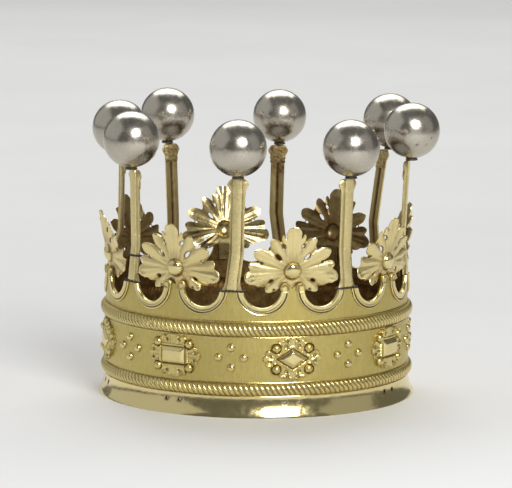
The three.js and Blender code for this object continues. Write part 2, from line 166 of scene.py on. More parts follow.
PELLET = {
    "radius": 2.55, "sides": 20, "polish": 0.75,
    "section": [  # share of the radius, height over the band, and painted shade at its foot
        (1.0, -1.0, 0.9), (1.0, 0.0, 0.9), (0.93, 0.24, 0.5), (0.9, 0.6, 0.15),
        (0.78, 1.24, 0), (0.5, 1.8, 0), (0.22, 1.98, 0),
    ],
}

# Sewing holes in the rim
HOLE_RADIUS = 0.95
HOLE_HEIGHT = 8.5
HOLE_SIDE = 4.3
HOLE_POINTS = 12

# Leaves
LEAF_CENTRE = 85.1
LEAF_BACK = 87.8  # distance of the tab's back from the axis
LEAF_LEAN = math.tan(math.radians(9.6))
LEAF_THICKNESS = 0.9
LEAF_SPACING = 0.62  # of its mesh
LEAF_TARNISH = [0.5, 0.5, 0.45, 0.55, 0.76, 0.3, 0.72, 0.45]  # behind each leaf
TAB_CORNERS = 3  # at the end of a leaf's edge, which stay sharp
BOSS_RADIUS = 4.9
BOSS_FOOT = 0.3
BOSS_RISE = 2.9
VEIN_WIDTH = 1.15
VEIN_DEPTH = 0.22
CURL_RISE = 0.7  # of the lobes' tips
EDGE_THINNED = 0.45
LEAF_SWAY = 0.42  # how far each leaf is bent in its own way

# Rays
RAY_WIDTH = 8.6
RAY_BAND = 4.9
RAY_THICKNESS = 2.6
RAY_EDGE = 1.0
RAY_EAR_WIDTH = 12.4
RAY_STAINS = [0.3, 0.3, 0.6, 0.5, 0.9, 0.6, 0.45, 0.55]  # how dark each one is behind its top
STAIN_DEPTH = 14  # of the stain's middle under the top
STAIN_LENGTH = 6
SOCKET_HEIGHT = 11.0
SOCKET_WIDTH = 9.2
SOCKET_ROWS = 12
SOCKET_COLUMNS = 9

# Balls
BALL_RADIUS = 16.55
BALL_ROWS = 48
BALL_COLUMNS = 96
BALL_CAP = 0.03  # radians, of the one face at its top
DENTS = 7
DENT_DEPTH = 0.12
NECK_RADIUS = 3.6
NECK_TOP = (3.25, 0.1, 0.95)  # radius, how far it is sunk in the ball, and painted shadow under the ball
NECK = [  # radius, height over its foot, and painted shadow under the ball
    (3.1, 0, 0.95), (3.6, 0.25, 0.85), (3.6, 0.8, 0.8), (3.15, 1.1, 0.95),
]

# Binding wires, each of two strands
WIRES = 4
WIRE_RADIUS = 0.33
WIRE_SIDES = 7
TWIST_RADIUS = 0.28
TWISTS = 9
WIRE_INSET = 0.5  # from the solid's sides to the strands' way round

# Floor, light and camera, in metres and degrees
FLOOR_SIZE = 16.0
AROUND = 0.14  # brightness of the room round the coronet
BACKDROP = 0.62  # brightness of the backdrop as it is seen
AIM_HEIGHT = 0.08
LIGHTS = {  # round from the camera, up, away, size, power, and how far behind the axis it aims
    "key": (19, 33, 1.5, (0.55, 0.55), 17, 0),
    "left tent": (-96, 30, 2.2, (4.0, 2.3), 11, 0),
    "right tent": (76, 26, 1.6, (1.2, 1.4), 1.2, 0),
    "top": (185, 60, 1.6, (1.0, 0.8), 5, 0),
    "back": (180, 42, 3.2, (3.2, 2.4), 60, 1.9),
}
CAMERA_AZIMUTH = math.radians(31.76)
CAMERA_ELEVATION = math.radians(8.2519)
CAMERA_ROLL = math.radians(0.34107)
CAMERA_DISTANCE = 2.17327
CAMERA_AIM = (-0.00065, 0.088175)  # to the camera's right of the axis, and up
FOCAL_PIXELS = 3620.42
IMAGE_WIDTH = 512
SENSOR = 36.0


def leaf_azimuth(n):
    return (n - 1) * TURN / REPEATS


def ray_azimuth(n):
    return (n - 0.5) * TURN / REPEATS


def wrap(s, z, r, azimuth=0.0):
    """Places in space of points on the circlet."""
    angle, z, r = np.broadcast_arrays(azimuth + np.asarray(s) / BAND_RADIUS, z, r)
    return np.stack([r * np.sin(angle), -r * np.cos(angle), z], -1)


def turned(points, azimuth):
    """Points drawn as (aside, outwards from the axis, up), turned to an azimuth, or back."""
    aside, out, up = np.moveaxis(np.asarray(points, float), -1, 0)
    sine, cosine = math.sin(azimuth), math.cos(azimuth)
    return np.stack([aside * cosine + out * sine, aside * sine - out * cosine, up], -1)


def corners_of(node):
    """The corners of a solid in the frame."""
    return np.array([tuple(v.co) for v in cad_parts[node].data.vertices]) / MM


class Shell:
    """Closed surfaces gathered for one piece, with how polished each point is and how far painted
    shade and tarnish darken it.
    """

    def __init__(self):
        self.points, self.faces, self.polish, self.painted_shade_and_tarnish = [], [], [], []
        self.count = 0

    def add(self, points, faces, polish=0.0, painted_shade_and_tarnish=0.0):
        points = np.asarray(points, float).reshape(-1, 3)
        self.points.append(points)
        self.faces.extend([[i + self.count for i in face] for face in faces])
        self.polish.append(np.broadcast_to(polish, len(points)))
        self.painted_shade_and_tarnish.append(np.broadcast_to(painted_shade_and_tarnish, len(points)))
        self.count += len(points)

    def piece(self, name, material, node, sharp=40):
        mesh = bpy.data.meshes.new(name)
        mesh.from_pydata((np.concatenate(self.points) * MM).tolist(), [], self.faces)
        for label, values in (("polish", self.polish), ("painted_shade_and_tarnish", self.painted_shade_and_tarnish)):
            layer = mesh.attributes.new(label, "FLOAT", "POINT")
            layer.data.foreach_set("value", np.concatenate(values).astype(np.float32))
        mesh.polygons.foreach_set("use_smooth", [True] * len(mesh.polygons))
        mesh.set_sharp_from_angle(angle=math.radians(sharp))
        mesh.materials.append(material)
        obj = bpy.data.objects.new(name, mesh)
        bpy.context.scene.collection.objects.link(obj)
        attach(obj, "root")
        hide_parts(node)


def lofted(shape, closed_rows):
    """Faces between rows of points, shape (rows, points in a row), each row a closed section."""
    rows, size = shape
    index = np.arange(rows * size).reshape(rows, size)
    below = index if closed_rows else index[:-1]
    above = np.roll(index, -1, 0) if closed_rows else index[1:]
    quads = np.stack([below, np.roll(below, -1, 1), np.roll(above, -1, 1), above], -1)
    faces = quads.reshape(-1, 4).tolist()
    if not closed_rows:
        faces.append(index[0][::-1].tolist())
        faces.append(index[-1].tolist())
    return faces


def lathe(profile, columns):
    """A closed section (r, z) turned round the circlet's axis."""
    profile = np.asarray(profile, float)
    s = np.arange(columns)[:, None] * TURN * BAND_RADIUS / columns
    return wrap(s, profile[None, :, 1], profile[None, :, 0]), lofted((columns, len(profile)), True)


def inside(loops, points):
    """Whether each point is inside the outline and outside the holes."""
    result = np.zeros(len(points), bool)
    for loop in loops:
        a, b = loop, np.roll(loop, -1, 0)
        x, y = points[:, :1], points[:, 1:]
        crosses = (a[:, 1] > y) != (b[:, 1] > y)
        rise = np.where(b[:, 1] == a[:, 1], 1e-12, b[:, 1] - a[:, 1])
        at = a[:, 0] + (y - a[:, 1]) * (b[:, 0] - a[:, 0]) / rise
        result ^= (np.sum(crosses & (x < at), 1) % 2).astype(bool)
    return result


def distance(lines, points, closed=True):
    """How far each point is from the nearest of some lines."""
    best = np.full(len(points), 1e9)
    for line in lines:
        line = np.asarray(line, float)
        a, b = (line, np.roll(line, -1, 0)) if closed else (line[:-1], line[1:])
        along = b - a
        length = np.maximum(np.sum(along**2, 1), 1e-12)
        offset = points[:, None] - a
        share = np.clip(np.sum(offset * along, 2) / length, 0, 1)
        gap = np.linalg.norm(offset - share[..., None] * along, axis=2)
        best = np.minimum(best, gap.min(1))
    return best


def arc(centre, radius, start, end, steps, squash=1.0):
    """Points of an arc, with its angles in degrees from the right, anticlockwise."""
    angles = np.radians(np.linspace(start, end, steps + 1))
    offset = np.stack([radius * np.cos(angles), squash * radius * np.sin(angles)], -1)
    return np.asarray(centre, float) + offset


def circle(centre, radius, count, squash=1.0):
    """Points round a circle or an oval."""
    return arc(centre, radius, 0, 360 - 360 / count, count - 1, squash)


def smooth(points, steps, closed=True):
    """A smooth curve through points."""
    points = np.asarray(points, float)
    count = len(points)
    last = count if closed else count - 1
    out = []
    for i in range(last):
        around = [i - 1, i, i + 1, i + 2]
        if closed:
            p = [points[k % count] for k in around]
        else:
            p = [points[min(max(k, 0), count - 1)] for k in around]
        for t in np.arange(steps) / steps:
            first = (p[2] - p[0]) * t
            second = (2 * p[0] - 5 * p[1] + 4 * p[2] - p[3]) * t**2
            third = (3 * p[1] - p[0] - 3 * p[2] + p[3]) * t**3
            out.append(0.5 * (2 * p[1] + first + second + third))
    if not closed:
        out.append(points[-1])
    return np.array(out)


def filled(loops, spacing):
    """Points and triangles that fill an outline, the first loop, around holes, the others."""
    loops = [np.asarray(loop, float) for loop in loops]
    low, high = loops[0].min(0), loops[0].max(0)
    columns = np.arange(low[0], high[0], spacing)
    rows = np.arange(low[1], high[1], spacing * math.sqrt(3) / 2)
    x, y = np.meshgrid(columns, rows)
    x = x + np.where(np.arange(len(rows)) % 2, 0.5, 0.0)[:, None] * spacing
    grid = np.stack([x.ravel(), y.ravel()], -1)
    grid = grid[inside(loops, grid)]
    grid = grid[distance(loops, grid) > spacing * 0.45]
    edges, start = [], 0
    for loop in loops:
        index = start + np.arange(len(loop))
        edges += np.stack([index, np.roll(index, -1)], -1).tolist()
        start += len(loop)
    points = [Vector(p) for p in np.concatenate([*loops, grid])]
    points, _, faces, *_ = delaunay_2d_cdt(points, edges, [], 0, 1e-7)
    points = np.array([tuple(p) for p in points])
    faces = np.array(faces)
    faces = faces[inside(loops, points[faces].mean(1))]
    a, b, c = (points[faces[:, k]] for k in range(3))
    area = (b[:, 0] - a[:, 0]) * (c[:, 1] - a[:, 1]) - (b[:, 1] - a[:, 1]) * (c[:, 0] - a[:, 0])
    faces = faces[np.abs(area) > 1e-7]
    flip = area[np.abs(area) > 1e-7] < 0
    faces[flip] = faces[flip][:, ::-1]
    return points, faces


def sheet_faces(faces, count, back_faces=None):
    """Faces of a closed sheet: its front, its back, whose points follow, and its edges."""
    if back_faces is None:
        back_faces = faces
    used = {(a, b) for face in faces.tolist() for a, b in zip(face, face[1:] + face[:1])}
    border = [(a, b) for a, b in used if (b, a) not in used]
    walls = [[b, a, a + count, b + count] for a, b in sorted(border)]
    return faces.tolist() + (back_faces[:, ::-1] + count).tolist() + walls


def round_band(points, faces):
    """Repeats a filled shape one pitch wide for the whole circlet, and joins its seams."""
    length = REPEATS * PITCH
    everything = np.concatenate([points + [n * PITCH, 0] for n in range(REPEATS)])
    keys = np.round(np.stack([everything[:, 0] % length, everything[:, 1]], -1), 3)
    keys[keys[:, 0] >= round(length, 3), 0] = 0
    keys, first, inverse = np.unique(keys, axis=0, return_index=True, return_inverse=True)
    faces = np.concatenate([faces + n * len(points) for n in range(REPEATS)])
    return everything[first], inverse.reshape(-1)[faces]


# Materials


def nodes_of(name):
    material = bpy.data.materials.new(name)
    material.use_nodes = True
    tree = material.node_tree
    shader = tree.nodes["Principled BSDF"]
    return material, tree, shader


def noise(tree, scale, detail=4.0, roughness=0.55, stretch=(1, 1, 1)):
    coordinates = tree.nodes.new("ShaderNodeTexCoord")
    mapping = tree.nodes.new("ShaderNodeMapping")
    mapping.inputs["Scale"].default_value = stretch
    texture = tree.nodes.new("ShaderNodeTexNoise")
    texture.inputs["Scale"].default_value = scale
    texture.inputs["Detail"].default_value = detail
    texture.inputs["Roughness"].default_value = roughness
    tree.links.new(coordinates.outputs["Object"], mapping.inputs["Vector"])
    tree.links.new(mapping.outputs["Vector"], texture.inputs["Vector"])
    return texture.outputs["Fac"]


def ranged(tree, value, low, high, to_low, to_high):
    node = tree.nodes.new("ShaderNodeMapRange")
    node.clamp = True
    tree.links.new(value, node.inputs["Value"])
    limits = {"From Min": low, "From Max": high, "To Min": to_low, "To Max": to_high}
    for label, number in limits.items():
        node.inputs[label].default_value = number
    return node.outputs["Result"]


def arithmetic(tree, operation, first, second):
    node = tree.nodes.new("ShaderNodeMath")
    node.operation = operation
    for socket, value in zip(node.inputs, (first, second)):
        if isinstance(value, (int, float)):
            socket.default_value = value
        else:
            tree.links.new(value, socket)
    return node.outputs["Value"]


def mixed(tree, share, first, second):
    node = tree.nodes.new("ShaderNodeMix")
    node.data_type = "RGBA"
    tree.links.new(share, node.inputs["Factor"])
    colors = [socket for socket in node.inputs if socket.type == "RGBA"]
    for socket, value in zip(colors, (first, second)):
        if isinstance(value, tuple):
            socket.default_value = (*value, 1)
        else:
            tree.links.new(value, socket)
    return next(socket for socket in node.outputs if socket.type == "RGBA")


def attribute(tree, name):
    node = tree.nodes.new("ShaderNodeAttribute")
    node.attribute_name = name
    return node.outputs["Fac"]


def bumped(tree, shader, height, strength, depth, normal=None):
    node = tree.nodes.new("ShaderNodeBump")
    node.inputs["Strength"].default_value = strength
    node.inputs["Distance"].default_value = depth
    tree.links.new(height, node.inputs["Height"])
    if normal is not None:
        tree.links.new(normal, node.inputs["Normal"])
    tree.links.new(node.outputs["Normal"], shader.inputs["Normal"])
    return node.outputs["Normal"]


def finished(tree, shader, color, roughness, metallic):
    tree.links.new(color, shader.inputs["Base Color"])
    shader.inputs["Metallic"].default_value = metallic
    if isinstance(roughness, float):
        shader.inputs["Roughness"].default_value = roughness
    else:
        tree.links.new(roughness, shader.inputs["Roughness"])


POLISHED_GILT = (0.84, 0.71, 0.35)
# dark brown for painted shade in recesses and on the inside, and for tarnish and stains
SHADE_AND_TARNISH_GILT = (0.13, 0.06, 0.016)


def gilt_material(name, matt, warmer, streak, rough_matt):
    """Pale gold, worn and polished where it stands out, matted, and darkened towards dark brown by
    painted shade in recesses and on the inside, and by tarnish and stains.
    """
    material, tree, shader = nodes_of(name)
    polish, painted_shade_and_tarnish = attribute(tree, "polish"), attribute(tree, "painted_shade_and_tarnish")
    patches = ranged(tree, noise(tree, 38, 5), 0.5, 0.72, 0, 1)
    warm = mixed(tree, patches, matt, warmer)
    strokes = noise(tree, 900, 4, 0.6, (1, 1, 0.16))
    mottling = noise(tree, 420, 5, 0.65)
    streaks = ranged(tree, arithmetic(tree, "ADD", strokes, mottling), 0.75, 1.25, 0, 1)
    streaked = mixed(tree, streaks, streak, warm)
    pale = mixed(tree, polish, streaked, POLISHED_GILT)
    mottled = ranged(tree, noise(tree, 240, 6, 0.7), 0.3, 0.7, 1.15, 0.82)
    # painted shade and tarnish, broken by mottling, draw the colour towards dark brown
    shaded_and_tarnished = arithmetic(tree, "MULTIPLY", painted_shade_and_tarnish, mottled)
    dark = mixed(tree, shaded_and_tarnished, pale, SHADE_AND_TARNISH_GILT)
    smudges = ranged(tree, noise(tree, 260, 6, 0.65), 0.3, 0.75, -0.07, 0.09)
    rough = arithmetic(tree, "ADD", ranged(tree, polish, 0, 1, rough_matt, 0.16), smudges)
    rough = arithmetic(tree, "ADD", rough, ranged(tree, painted_shade_and_tarnish, 0, 1, 0, 0.25))
    finished(tree, shader, dark, rough, 1)
    matting = arithmetic(tree, "ADD", noise(tree, 2600, 3, 0.6, (1, 1, 0.3)), streaks)
    unworn = ranged(tree, polish, 0, 0.6, 1, 0.02)
    matted = bumped(tree, shader, arithmetic(tree, "MULTIPLY", matting, unworn), 0.6, 0.00022)
    bumped(tree, shader, noise(tree, 90, 2), 0.25, 0.0006, matted)
    return material


def silver_material():
    """Polished silver with patches of tarnish and a few dark pits, and painted shadow on the
    collar under each ball.
    """
    material, tree, shader = nodes_of("silver")
    painted_shade_and_tarnish = attribute(tree, "painted_shade_and_tarnish")
    tarnish = ranged(tree, noise(tree, 45, 6, 0.6), 0.52, 0.8, 0, 1)
    bright = mixed(tree, tarnish, (0.55, 0.51, 0.43), (0.38, 0.33, 0.27))
    # painted shadow on the collar and the dark pits draw the colour towards near black
    color = mixed(tree, painted_shade_and_tarnish, bright, (0.12, 0.10, 0.08))
    smudges = ranged(tree, noise(tree, 210, 7, 0.7), 0.3, 0.75, 0.17, 0.36)
    rough = arithmetic(tree, "ADD", smudges, ranged(tree, painted_shade_and_tarnish, 0, 1, 0, 0.3))
    finished(tree, shader, color, rough, 1)
    bumped(tree, shader, noise(tree, 70, 3), 0.22, 0.0008)
    return material


def wire_material():
    """Dark iron binding wire."""
    material, tree, shader = nodes_of("binding_wire")
    rust = ranged(tree, noise(tree, 900, 5), 0.4, 0.7, 0, 1)
    color = mixed(tree, rust, (0.05, 0.05, 0.055), (0.12, 0.09, 0.07))
    finished(tree, shader, color, 0.5, 0.8)
    bumped(tree, shader, noise(tree, 2500, 3), 0.4, 0.0001)
    return material


def floor_material():
    material, tree, shader = nodes_of("pale_floor")
    tone = ranged(tree, noise(tree, 3, 3), 0.3, 0.7, 0, 1)
    color = mixed(tree, tone, (0.70, 0.70, 0.69), (0.74, 0.74, 0.73))
    finished(tree, shader, color, 0.7, 0)
    return material


GILT = gilt_material(
    "silver_gilt", (0.70, 0.585, 0.20), (0.66, 0.49, 0.13), (0.60, 0.49, 0.15), 0.44
)
LEAF_GILT = gilt_material(  # paler, for the leaves and the rays
    "leaf_gilt", (0.86, 0.72, 0.37), (0.78, 0.60, 0.26), (0.80, 0.67, 0.32), 0.42
)
SILVER = silver_material()
WIRE = wire_material()


# Circlet


def add_rim(shell):
    """The plain flared rim, with two holes under each leaf where the cap is sewn in."""
    half = PITCH / 2
    rows = np.linspace(0, RIM_TOP + RIM_OVERLAP, RIM_ROWS)
    columns = np.linspace(-half, half, RIM_COLUMNS)
    outline = [(s, rows[0]) for s in columns]
    outline += [(half, z) for z in rows[1:-1]]
    outline += [(s, rows[-1]) for s in columns[::-1]]
    outline += [(-half, z) for z in rows[-2:0:-1]]
    centres = [(side * HOLE_SIDE, HOLE_HEIGHT) for side in (-1, 1)]
    holes = [circle(centre, HOLE_RADIUS, HOLE_POINTS) for centre in centres]
    points, faces = round_band(*filled([np.array(outline), *holes], RIM_SPACING))
    s, z = points.T
    flare = 1 - np.clip((z - RIM_EDGE) / (RIM_TOP - RIM_EDGE), 0, 1)
    front = BAND_RADIUS + RIM_FLARE * flare**2 - RIM_ROUNDING * (z < 0.01)
    places = np.concatenate([wrap(s, z, front), wrap(s, z, front - WALL)])
    aside = np.abs((s + half) % PITCH - half)
    to_hole = np.hypot(aside - HOLE_SIDE, z - HOLE_HEIGHT)
    # painted shade round the sewing holes, and on the rim's inside
    hole_shade = np.tile(np.where(to_hole < HOLE_RADIUS * 1.05, 1.0, 0.0), 2)
    painted_shade_and_tarnish = np.maximum(hole_shade, np.repeat(RIM_SHADE, len(s)))
    shell.add(places, sheet_faces(faces, len(s)), np.repeat(RIM_POLISH, len(s)), painted_shade_and_tarnish)


def add_rope(shell, rope):
    """A rope moulding pressed out of the sheet, with slanting strands in front and behind."""
    foot, width = rope
    columns = STRANDS[rope] * STRAND_STEPS
    t = np.linspace(0, 1, ROPE_ROWS)
    across = np.sin(np.pi * t) ** ROPE_FULLNESS
    strand = (np.arange(columns) % STRAND_STEPS) / STRAND_STEPS
    crown = (np.abs(np.sin(np.pi * strand)) ** STRAND_FULLNESS)[:, None]
    along = np.arange(columns)[:, None] * TURN / columns * BAND_RADIUS
    z = foot + width * t
    s = along - (z - foot - width / 2) * STRAND_SLANT
    taper = np.clip(across * 1.3, 0, 1)
    valley = STRAND_DEPTH * (1 - crown) * taper
    front = BAND_RADIUS + ROPE_RISE * across[None] - valley
    back = BAND_RADIUS + ROPE_RISE * across[None] - WALL - valley * STRAND_BACK
    inner_t = t[::-2]
    inner_s = along - width * (inner_t - 0.5) * STRAND_SLANT
    inner = wrap(inner_s, foot + width * inner_t, back[:, ::-2])
    places = np.concatenate([wrap(s, z, front), inner], 1)
    # painted shade in the valleys between the strands, towards the rope's edges, and on the rope's
    # inside
    outer_shade = np.clip(0.45 * (1 - crown) + 0.25 * (1 - taper), 0, 1)
    outer_polish = np.clip(0.85 * crown * taper, 0, 1)
    inner_polish, inner_shade = ROPE_INSIDE
    polish = np.concatenate([outer_polish, np.full(inner_s.shape, inner_polish)], 1)
    painted_shade_and_tarnish = np.concatenate([outer_shade, np.full(inner_s.shape, inner_shade)], 1)
    shell.add(places, lofted(places.shape[:2], True), polish.ravel(), painted_shade_and_tarnish.ravel())


def add_button(shell, place, base, azimuth, radius, sides, polish, section):
    """A small round form on the circlet, at a place along and up from an azimuth."""
    angles = np.arange(sides) * TURN / sides
    rings = []
    for reach, rise, _ in section:
        s = place[0] + radius * reach * np.cos(angles)
        z = place[1] + radius * reach * np.sin(angles)
        rings.append(wrap(s, z, base + rise, azimuth))
    painted_shade_and_tarnish = np.repeat([mark for _, _, mark in section], sides)
    shell.add(np.array(rings), lofted((len(rings), sides), False), polish, painted_shade_and_tarnish)


def add_pellets(shell):
    """Four pellets in a cross under each ray, each a dome with a fine step at its foot."""
    for n in range(1, REPEATS + 1):
        for x, y in PELLETS:
            place = (x, JEWEL_CENTRE + y)
            add_button(shell, place, BAND_RADIUS, ray_azimuth(n), **PELLET)


def add_straps(shell):
    """Round each scallop a broad band and a thin fillet, with a coiled head beside the leaf."""
    out, up, painted_shade_and_tarnish = np.array(STRAP_PROFILE).T
    reach = SCALLOP_RADIUS + out
    start = math.asin((SCALLOP_CENTRE - SEAT) / reach.max())
    angles = np.linspace(start, math.pi, STRAP_STEPS)[:, None]
    beside_ray = angles < 1
    for n in range(1, REPEATS + 1):
        for side in (-1, 1):
            x = side * (SCALLOP_SIDE + reach * np.cos(angles))
            z = SCALLOP_CENTRE - reach * np.sin(angles)
            z = np.where(beside_ray, np.minimum(z, SEAT), z)
            x = np.concatenate([x, x[-1:]])
            z = np.concatenate([z, z[-1:] + STRAP_RISE])
            places = wrap(x, z, CREST_RADIUS + up, leaf_azimuth(n))[:, ::-side]
            marks = np.tile(painted_shade_and_tarnish[::-side], len(places))
            shell.add(places, lofted(places.shape[:2], False), 0.9, marks)
            place = (side * HEAD_SIDE, HEAD_CENTRE)
            add_button(shell, place, CREST_RADIUS, leaf_azimuth(n), **HEAD)


def add_crest(shell):
    """The matted crest above the upper rope, cut by two scallops between leaf and leaf."""
    half = PITCH / 2
    foot = CREST_FOOT - OVERLAP
    drop = SCALLOP_CENTRE - SEAT
    lean = math.degrees(math.asin(drop / SCALLOP_RADIUS))
    seat_half = half - SCALLOP_SIDE - math.sqrt(SCALLOP_RADIUS**2 - drop**2)
    bottom = [(s, foot) for s in np.linspace(-half, half, CREST_COLUMNS)]
    right = [(half, z) for z in np.linspace(foot, SEAT, 10)[1:]]
    right += [(half - seat_half * 0.5, SEAT)]
    right += arc((SCALLOP_SIDE, SCALLOP_CENTRE), SCALLOP_RADIUS, -lean, -180, 24).tolist()
    right += [(s, CREST_TOP) for s in (SCALLOP_SIDE - SCALLOP_RADIUS, 4.0, 1.2)]
    notch = [(0.0, CREST_TOP - 1.2)]
    left = [(-s, z) for s, z in right[::-1]]
    outline = np.array(bottom + right + notch + left)
    points, faces = round_band(*filled([outline], CREST_SPACING))
    s, z = points.T
    places = np.concatenate([wrap(s, z, CREST_RADIUS), wrap(s, z, CREST_RADIUS - WALL)])
    # painted shade on the crest's inside
    polish, painted_shade_and_tarnish = np.repeat(CREST_POLISH, len(s)), np.repeat(MATT_SHADE, len(s))
    shell.add(places, sheet_faces(faces, len(s)), polish, painted_shade_and_tarnish)


def half_round(radius, height, size):
    """Section of a thin bead on a wall."""
    angles = np.linspace(-math.pi / 2, math.pi / 2, BEAD_STEPS)
    bead = [(radius + size * math.cos(a), height + size * math.sin(a)) for a in angles]
    sunk = radius - BEAD_SUNK
    return bead + [(sunk, height + size), (sunk, height - size)]


def add_band(shell):
    """The matted wall between the ropes, and the thin beads beside the ropes."""
    levels = [BAND_FOOT - OVERLAP, JEWEL_CENTRE, UPPER_ROPE[0] + OVERLAP]
    section = [(BAND_RADIUS, z) for z in levels]
    section += [(BAND_RADIUS - WALL, z) for z in levels[::-1]]
    places, faces = lathe(section, BAND_COLUMNS)
    polish = np.tile(np.repeat(BAND_POLISH, len(levels)), BAND_COLUMNS)
    # painted shade on the band's inside, and a little on the beads
    painted_shade_and_tarnish = np.tile(np.repeat(MATT_SHADE, len(levels)), BAND_COLUMNS)
    shell.add(places, faces, polish, painted_shade_and_tarnish)
    for radius, height, size in BEADS:
        places, faces = lathe(half_round(radius, height, size), BEAD_COLUMNS)
        shell.add(places, faces, 0.8, 0.1)


def rounded(share):
    """Height of a half circle of radius 1, at a share of its radius from the middle."""
    return np.sqrt(np.clip(1 - share**2, 0, 1))


def ridge(points, line, width, height, closed=False):
    """A rounded ridge along a line, as a height at each point."""
    return height * rounded(distance([line], points, closed) / width)


# What a jewel is drawn from. All but the stone is one quarter, mirrored to the other three,
# and its edge runs from the side to the top.
OBLONG = {
    "edge": [
        (17.3, 0), (17.0, 1.6), (15.6, 2.4), (15.9, 4.0), (14.8, 5.3), (13.4, 5.2),
        (13.6, 7.4), (12.4, 9.4), (10.4, 9.9), (8.9, 9.3), (8.2, 10.9), (6.4, 11.7),
        (4.9, 10.9), (3.9, 12.2), (2.0, 12.5), (0, 12.7),
    ],
    "stone": [(7.75, 4.85), (-7.75, 4.85), (-7.75, -4.85), (7.75, -4.85)],
    "pearl": (10.6, 7.0),
    "dots": [(4.0, 9.1), (14.0, 2.2)],
    "side scroll": ((12.4, 3.4), 1.9),
    "top scroll": ((6.4, 8.6), 1.9),
    "veins": [((2.2, 6.6), (2.8, 11.0)), ((0.6, 6.6), (0.8, 12.0)), ((10.6, 1.0), (16.5, 0.7))],
}
LOZENGE = {
    "edge": [
        (17.4, 0), (17.0, 1.3), (15.6, 2.0), (15.9, 3.6), (14.6, 4.9), (12.9, 4.5),
        (12.9, 6.6), (11.6, 8.8), (9.4, 9.3), (8.5, 9.1), (7.9, 10.6), (6.1, 11.2),
        (5.0, 10.5), (4.2, 12.0), (2.6, 12.5), (1.5, 11.8), (0, 12.7),
    ],
    "stone": [(9.0, 0), (0, 5.75), (-9.0, 0), (0, -5.75)],
    "pearl": (9.6, 6.1),
    "dots": [(4.0, 7.4), (3.0, 10.4), (13.3, 1.6)],
    "side scroll": ((12.6, 2.6), 2.2),
    "top scroll": ((4.6, 8.2), 2.6),
    "veins": [((2.0, 7.0), (2.6, 11.4)), ((0.6, 6.8), (0.8, 12.0)), ((12.0, 1.0), (16.5, 0.5))],
}


def jewel_lines(drawing, i, j):
    """The raised lines of one quarter of a jewel's frame."""
    (x, y), radius = drawing["side scroll"]
    start, end = (200, 20) if i > 0 else (-20, 160)
    lines = [arc((x * i, y * j), radius, start, end, 10)]
    (x, y), radius = drawing["top scroll"]
    start, end = (20, 160) if j > 0 else (-20, -160)
    lines.append(arc((x * i, y * j), radius, start, end, 10))
    return lines + [np.array(vein) * (i, j) for vein in drawing["veins"]]


def jewel(drawing):
    """A jewel's outline with its holes, points, faces, height over the band, polish, and painted
    shade in its recesses.
    """
    edge = drawing["edge"]
    right = edge[::-1] + [(x, -y) for x, y in edge[1:]]
    outline = smooth(right + [(-x, y) for x, y in right[-2:0:-1]], 3)
    dots = [
        circle((x * i, y * j), DOT_RADIUS, DOT_POINTS)
        for x, y in drawing["dots"]
        for i, j in QUARTERS
    ]
    points, faces = filled([outline, *dots], JEWEL_SPACING)

    rim = distance([outline], points)
    height = FRAME_EDGE + FRAME_RISE * np.clip(rim / 0.6, 0, 1)
    height += ridge(points, outline, *EDGE_RIDGE, True)
    # painted shade where the frame meets the band, in the dots, in the groove round the stone and
    # round each pearl
    painted_shade_and_tarnish = 0.55 * np.clip(1 - rim / 0.5, 0, 1)
    for i, j in QUARTERS:
        for line in jewel_lines(drawing, i, j):
            height += ridge(points, line, *SCROLL_RIDGE)
    for dot in dots:
        near = distance([dot], points)
        height -= DOT_DEPTH * np.clip(1 - near / 0.6, 0, 1)
        painted_shade_and_tarnish = np.maximum(painted_shade_and_tarnish, np.clip(1.2 - near / 0.5, 0, 1))

    stone = np.array(drawing["stone"])
    gap = distance([stone], points)
    in_stone = inside([stone], points)
    in_setting = ~in_stone & (gap < SETTING_WIDTH)
    bevel = STONE_FOOT + np.clip(gap, 0, STONE_BEVEL) * STONE_SLOPE
    ticks = MILLING_DEPTH * np.sin(points[:, 0] * TURN / MILLING)
    rolled = SETTING_FOOT + SETTING_RISE * rounded((gap - 1.25) / 0.65) + ticks
    setting = np.where(gap < SETTING_GROOVE, 0.85, rolled)
    height = np.where(in_stone, bevel, np.where(in_setting, setting, height))
    in_groove = (gap < SETTING_GROOVE) & (~in_stone | (gap < 0.2))
    painted_shade_and_tarnish = np.where(in_groove, 0.85, np.where(in_stone | in_setting, 0, painted_shade_and_tarnish))

    on_frame = ~in_stone & (gap > SETTING_WIDTH)
    for i, j in QUARTERS:
        off = np.linalg.norm(points - np.array(drawing["pearl"]) * (i, j), axis=1)
        collar = COLLAR_RISE * rounded((off - COLLAR_RADIUS) / COLLAR_WIDTH)
        height = height + collar * on_frame
        dome = np.sqrt(np.clip(PEARL_RADIUS**2 - off**2, 0, None)) * PEARL_ROUNDNESS
        height = np.where(off < PEARL_RADIUS, PEARL_FOOT + dome, height)
        ring = (off >= PEARL_RADIUS) & (off < PEARL_GROOVE)
        height = np.where(ring, 0.5, height)
        painted_shade_and_tarnish = np.where(off < PEARL_RADIUS - 0.1, 0, np.where(ring, 0.9, painted_shade_and_tarnish))
    polish = np.where(in_stone & (gap > 0.3), 0.85, 0.45)
    return [outline, *dots], points, faces, height, polish, painted_shade_and_tarnish


